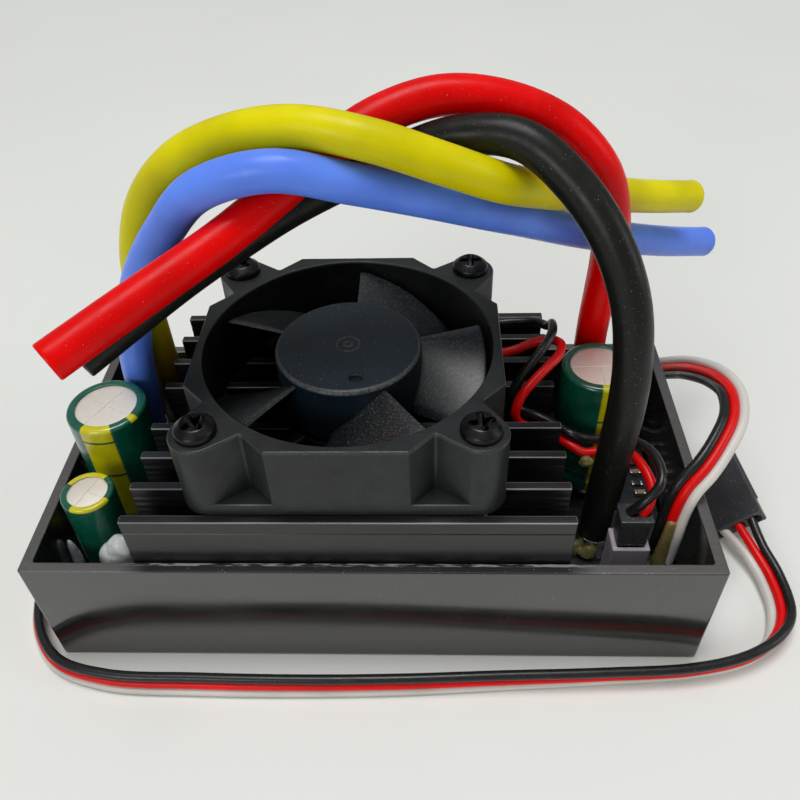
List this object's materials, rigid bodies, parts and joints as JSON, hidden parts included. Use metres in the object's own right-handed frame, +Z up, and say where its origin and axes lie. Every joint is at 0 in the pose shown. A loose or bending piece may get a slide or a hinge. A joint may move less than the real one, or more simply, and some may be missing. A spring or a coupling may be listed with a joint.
{
  "type": "electronic speed controller",
  "caption": "Open-top brushed electronic speed controller: circuit board in a tray under a finned heatsink with a cooling fan, stout silicone power wires and a servo lead.",
  "frame": {"origin": "middle of the tray's underside, on the surface that it stands on", "axes": "+X along the tray from the blue and yellow wires to the red and black ones, +Y to the back (away from the side that the servo lead crosses in front of), +Z up out of the tray"},
  "size_m": [0.1118, 0.0635, 0.0673],
  "materials": {
    "tray_plastic": "satin moulded plastic",
    "board_mask": "solder mask",
    "black_screw": "black oxide",
    "chip_resin": "moulded resin",
    "tin": "tin plate",
    "thermal_pad": "soft pad",
    "black_anodised": "black anodised, extruded",
    "fan_plastic": "fine matte grain",
    "rotor_plastic": "fine matte grain",
    "steel": "bare steel",
    "magnet": "bonded ferrite",
    "copper": "enamelled copper wire",
    "bronze": "sintered bronze",
    "capacitor_sleeve": "shrunk plastic sleeve",
    "can_aluminium": "satin, scored",
    "seal_rubber": "matte rubber",
    "solder": "bright solder",
    "red_silicone": "glossy silicone",
    "black_silicone": "glossy silicone",
    "yellow_silicone": "glossy silicone",
    "blue_silicone": "glossy silicone",
    "glue": "hot-melt glue",
    "servo_jacket": "soft vinyl, one core black, one red, one white",
    "connector_plastic": "moulded nylon",
    "header_plastic": "moulded nylon",
    "red_lead": "vinyl",
    "black_lead": "vinyl"
  },
  "bodies": {
    "case": {"tray": "tray_plastic", "circuit_board": "board_mask", "board_screw_1": "black_screw", "board_screw_2": "black_screw", "board_screw_3": "black_screw", "board_screw_4": "black_screw", "mosfet_1": "chip_resin", "mosfet_2": "chip_resin", "mosfet_3": "chip_resin", "mosfet_4": "chip_resin", "mosfet_5": "chip_resin", "mosfet_6": "chip_resin", "microcontroller": "chip_resin", "gate_driver": "chip_resin", "bec_regulator": "chip_resin", "current_shunt": "tin", "thermal_pad": "thermal_pad", "heatsink": "black_anodised", "heatsink_screw_1": "black_screw", "heatsink_screw_2": "black_screw", "fan_frame": "fan_plastic", "fan_stator_core": "steel", "fan_winding": "copper", "fan_driver_board": "board_mask", "fan_bearing": "bronze", "fan_screw_1": "black_screw", "fan_screw_2": "black_screw", "fan_screw_3": "black_screw", "fan_screw_4": "black_screw", "left_capacitor_sleeve": "capacitor_sleeve", "left_capacitor_can": "can_aluminium", "left_capacitor_seal": "seal_rubber", "right_capacitor_sleeve": "capacitor_sleeve", "right_capacitor_can": "can_aluminium", "right_capacitor_seal": "seal_rubber", "small_capacitor_sleeve": "capacitor_sleeve", "small_capacitor_can": "can_aluminium", "small_capacitor_seal": "seal_rubber", "red_terminal": "solder", "black_terminal": "solder", "yellow_terminal": "solder", "blue_terminal": "solder", "red_power_wire": "red_silicone", "black_power_wire": "black_silicone", "yellow_power_wire": "yellow_silicone", "blue_power_wire": "blue_silicone", "servo_lead_glue": "glue", "servo_lead": "servo_jacket", "servo_plug": "connector_plastic", "servo_contact_1": "tin", "servo_contact_2": "tin", "servo_contact_3": "tin", "fan_lead_red": "red_lead", "fan_lead_black": "black_lead", "fan_header": "header_plastic", "fan_plug": "connector_plastic"},
    "rotor": {"fan_rotor": "rotor_plastic", "fan_shaft": "steel", "fan_magnet_ring": "magnet"}
  },
  "joints": [
    {"name": "fan_spin", "type": "hinge", "parent": "case", "child": "rotor", "pos_m": [-0.00265, 0, 0.0268], "axis": [0, 0, 1], "continuous": true}
  ]
}
